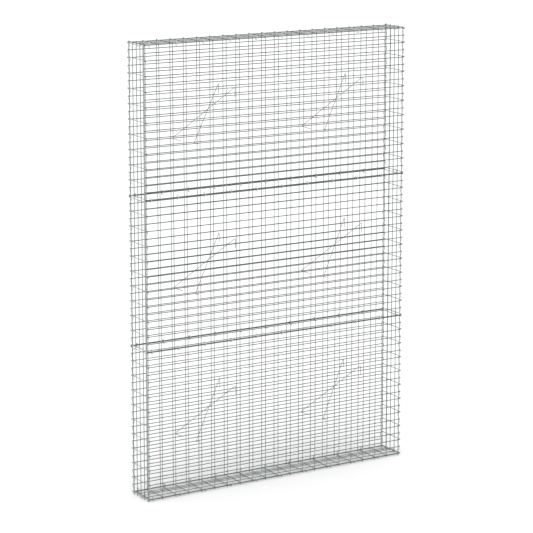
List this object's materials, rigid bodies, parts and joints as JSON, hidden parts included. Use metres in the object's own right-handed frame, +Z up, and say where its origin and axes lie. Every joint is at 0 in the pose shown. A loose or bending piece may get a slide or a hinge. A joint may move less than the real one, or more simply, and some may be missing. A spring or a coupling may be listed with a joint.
{
  "type": "gabion wall cage",
  "caption": "Empty welded wire mesh gabion wall cage in three tiers, with a mesh base and lid, ring clips, helical corner binders and hooked diagonal tie wires, galvanised.",
  "frame": {"origin": "bottom centre of the cage, on the level floor under the cut wire ends", "axes": "X runs along the wall to the right as seen from the front, Y runs from the front to the back, Z is up"},
  "size_m": [2.0416, 0.2354, 3.0381],
  "materials": {
    "mesh_wire": "matt hot-dip galvanised wire",
    "clip_wire": "bright galvanised spring wire"
  },
  "bodies": {
    "root": {"front_panel_lower": "mesh_wire", "front_panel_middle": "mesh_wire", "front_panel_upper": "mesh_wire", "back_panel_lower": "mesh_wire", "back_panel_middle": "mesh_wire", "back_panel_upper": "mesh_wire", "left_end_lower": "mesh_wire", "left_end_middle": "mesh_wire", "left_end_upper": "mesh_wire", "right_end_lower": "mesh_wire", "right_end_middle": "mesh_wire", "right_end_upper": "mesh_wire", "base_panel": "mesh_wire", "lid_panel": "mesh_wire", "front_base_rings": "clip_wire", "front_lower_seam_rings": "clip_wire", "front_upper_seam_rings": "clip_wire", "front_lid_rings": "clip_wire", "back_base_rings": "clip_wire", "back_lower_seam_rings": "clip_wire", "back_upper_seam_rings": "clip_wire", "left_end_rings": "clip_wire", "right_end_rings": "clip_wire", "front_left_binder": "clip_wire", "front_right_binder": "clip_wire", "back_left_binder": "clip_wire", "back_right_binder": "clip_wire", "tie_lower_left_a": "clip_wire", "tie_lower_left_b": "clip_wire", "tie_lower_right_a": "clip_wire", "tie_lower_right_b": "clip_wire", "tie_middle_left_a": "clip_wire", "tie_middle_left_b": "clip_wire", "tie_middle_right_a": "clip_wire", "tie_middle_right_b": "clip_wire", "tie_upper_left_a": "clip_wire", "tie_upper_left_b": "clip_wire", "tie_upper_right_a": "clip_wire", "tie_upper_right_b": "clip_wire"}
  },
  "joints": []
}
